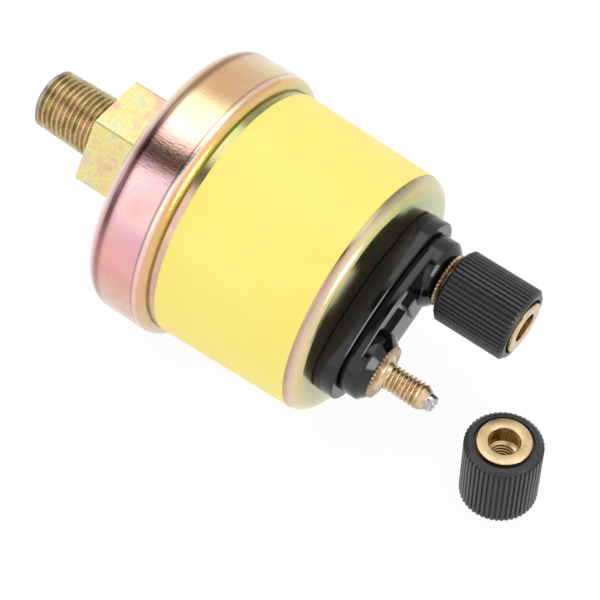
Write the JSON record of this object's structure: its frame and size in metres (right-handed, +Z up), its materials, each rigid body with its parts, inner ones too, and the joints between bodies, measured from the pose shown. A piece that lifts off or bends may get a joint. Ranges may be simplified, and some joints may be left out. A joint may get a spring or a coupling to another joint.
{
  "type": "oil pressure sender",
  "caption": "Oil pressure sender lying on its side: hexagon with tapered pipe thread, crimped cup and can, black terminal base with brass studs, knurled thumb nuts, one taken off.",
  "frame": {"origin": "floor point under the middle of the whole row, the sender and the loose thumb nut together", "axes": "+X from the threaded stem to the terminals, level and beside the sender's tilted axis; +Z up from the floor; +Y away from the bare stud"},
  "size_m": [0.0928, 0.044, 0.0444],
  "materials": {
    "stem_steel": "yellow passivated zinc on turned steel, satin",
    "cup_steel": "yellow passivated zinc on pressed steel, iridescent, glossy",
    "can_steel": "yellow passivated zinc on drawn steel, iridescent, glossy",
    "label_film": "yellow printed film, satin",
    "base_plastic": "black moulded thermoplastic, glossy",
    "grip_plastic": "dark grey moulded plastic, satin",
    "seal_rubber": "black nitrile rubber",
    "stud_brass": "turned brass, bright",
    "insert_brass": "turned brass, bright",
    "strip_brass": "brass strip",
    "lead_tin": "tinned copper wire and solder",
    "stack_steel": "zinc plated steel",
    "disc_steel": "rolled stainless spring steel",
    "frame_steel": "pressed steel strip",
    "lever_brass": "pressed brass",
    "pin_steel": "turned steel",
    "spring_steel": "drawn spring wire",
    "insulator_plastic": "laminated insulating board",
    "winding_wire": "bare resistance wire"
  },
  "bodies": {
    "sender": {"pressure_stem": "stem_steel", "base_cup": "cup_steel", "cup_seal": "seal_rubber", "diaphragm": "disc_steel", "stop_ring": "stack_steel", "carrier_plate": "stack_steel", "case_can": "can_steel", "label_band": "label_film", "base_gasket": "seal_rubber", "terminal_base": "base_plastic", "inner_insulator": "insulator_plastic", "signal_stud": "stud_brass", "signal_lead_pin": "lead_tin", "signal_stud_nut": "stud_brass", "signal_lead_strip": "strip_brass", "earth_stud": "stud_brass", "earth_lead_pin": "lead_tin", "earth_stud_nut": "stud_brass", "earth_lead_strip": "strip_brass", "loose_nut_grip": "grip_plastic", "loose_nut_insert": "insert_brass", "mechanism_frame": "frame_steel", "frame_rivets": "frame_steel", "pivot_shaft": "pin_steel", "return_spring": "spring_steel", "resistor_former": "insulator_plastic", "resistor_winding": "winding_wire"},
    "nut_bush": {"fitted_nut_insert": "insert_brass"},
    "nut_grip": {"fitted_nut_grip": "grip_plastic"},
    "rocker": {"rocker_lever": "lever_brass", "wiper_contact": "lever_brass"},
    "pressure_pin": {"push_pin": "pin_steel"}
  },
  "joints": [
    {"name": "thumb_nut_advance", "type": "slide", "parent": "sender", "child": "nut_bush", "axis": [0.9953, 0, -0.0968], "range_m": [-0.00025, 0.0084]},
    {"name": "thumb_nut_turn", "type": "hinge", "parent": "nut_bush", "child": "nut_grip", "pos_m": [0.02692, 0.00758, 0.02117], "axis": [0.9953, 0, -0.0968], "range_deg": [-129, 4320.5]},
    {"name": "rocker_tilt", "type": "hinge", "parent": "sender", "child": "rocker", "pos_m": [-0.00618, -0.0024, 0.02025], "axis": [-0.0895, 0.3811, -0.9202], "range_deg": [0, 27.01]},
    {"name": "push_pin_rise", "type": "slide", "parent": "sender", "child": "pressure_pin", "axis": [0.9953, 0, -0.0968], "range_m": [0, 0.00122], "stiffness_N_per_m": 2300, "springref_m": -0.0005, "deforming": ["return_spring", "diaphragm"]}
  ],
  "couplings": [
    {"joint": "thumb_nut_turn", "follows": "thumb_nut_advance", "rad_per_m": 8976},
    {"joint": "rocker_tilt", "follows": "push_pin_rise", "rad_per_m": 384.62}
  ]
}
